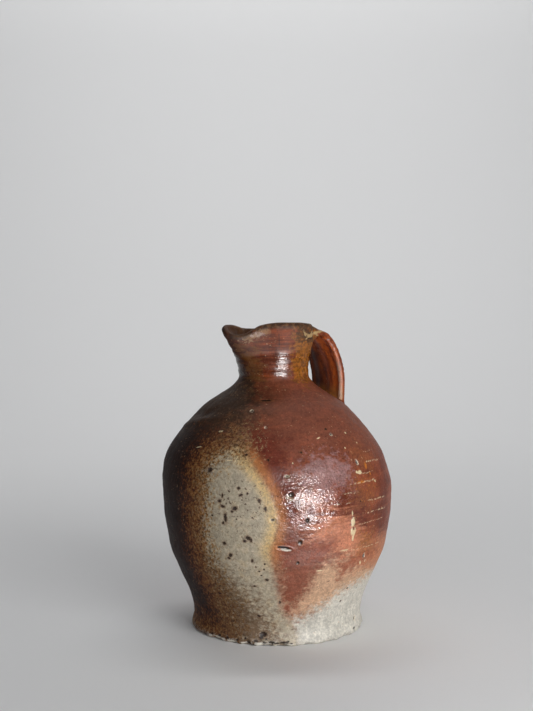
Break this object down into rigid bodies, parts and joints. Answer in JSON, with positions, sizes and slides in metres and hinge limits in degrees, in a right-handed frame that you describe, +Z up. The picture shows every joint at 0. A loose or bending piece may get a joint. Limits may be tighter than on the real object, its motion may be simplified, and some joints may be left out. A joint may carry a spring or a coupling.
{
  "type": "stoneware jug",
  "caption": "Wheel-thrown round-bellied stoneware jug with a short flared neck, a pinched pouring beak and a broad strap handle",
  "frame": {"origin": "centre of the underside, on the table", "axes": "+Z up; +X towards the handle; the pouring beak points along -X"},
  "size_m": [0.1672, 0.1673, 0.2204],
  "materials": {
    "stoneware": "satin wood-fired glaze, brown-red with a bare grey-cream patch on the belly"
  },
  "bodies": {
    "root": {"jug": "stoneware"}
  },
  "joints": []
}
